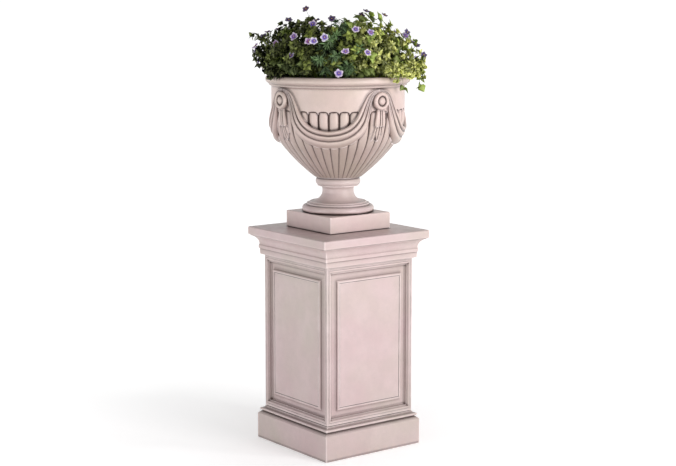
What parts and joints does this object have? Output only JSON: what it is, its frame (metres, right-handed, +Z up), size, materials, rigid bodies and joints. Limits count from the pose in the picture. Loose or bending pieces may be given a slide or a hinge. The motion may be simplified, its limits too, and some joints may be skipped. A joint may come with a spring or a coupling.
{
  "type": "planted garden urn on pedestal",
  "caption": "Classical cast-stone garden urn with a gadrooned bowl, rosettes and cloth swags, planted with leafy flowering plants, standing on a square panelled pedestal.",
  "frame": {"origin": "centre of the pedestal's underside, on the ground", "axes": "+Z up along the common axis of pedestal and urn; the pedestal's faces look along +X, -X, +Y and -Y, and the urn's rosettes sit on the same axes"},
  "size_m": [0.6572, 0.6572, 1.6145],
  "materials": {
    "cast_stone": "satin",
    "mortar": "matte",
    "steel": "satin",
    "gravel": "matte",
    "fleece": "matte",
    "compost": "matte",
    "flowering_plant": "matte",
    "petal": "matte",
    "dark_leaf": "satin",
    "light_leaf": "satin"
  },
  "bodies": {
    "pedestal": {"pedestal_base": "cast_stone", "lower_mortar_bed": "mortar", "lower_dowels": "steel", "pedestal_shaft": "cast_stone", "upper_mortar_bed": "mortar", "upper_dowels": "steel", "pedestal_cap": "cast_stone"},
    "urn": {"urn_plinth": "cast_stone", "urn_foot": "cast_stone", "urn_bowl": "cast_stone", "drain_tube": "steel", "drainage_gravel": "gravel", "filter_fleece": "fleece", "compost": "compost", "rosette_right": "cast_stone", "rosette_back": "cast_stone", "rosette_left": "cast_stone", "rosette_front": "cast_stone", "swag_back_right": "cast_stone", "swag_back_left": "cast_stone", "swag_front_left": "cast_stone", "swag_front_right": "cast_stone", "tail_right": "cast_stone", "tail_back": "cast_stone", "tail_left": "cast_stone", "tail_front": "cast_stone", "plant_heart": "flowering_plant", "plant_ring_1": "light_leaf", "plant_ring_2": "dark_leaf", "plant_ring_3": "dark_leaf", "plant_ring_4": "dark_leaf", "plant_ring_5": "light_leaf", "plant_ring_6": "light_leaf"}
  },
  "joints": [
    {"name": "urn_lift", "type": "slide", "parent": "pedestal", "child": "urn", "axis": [0, 0, 1], "range_m": [0, 0.15]}
  ]
}
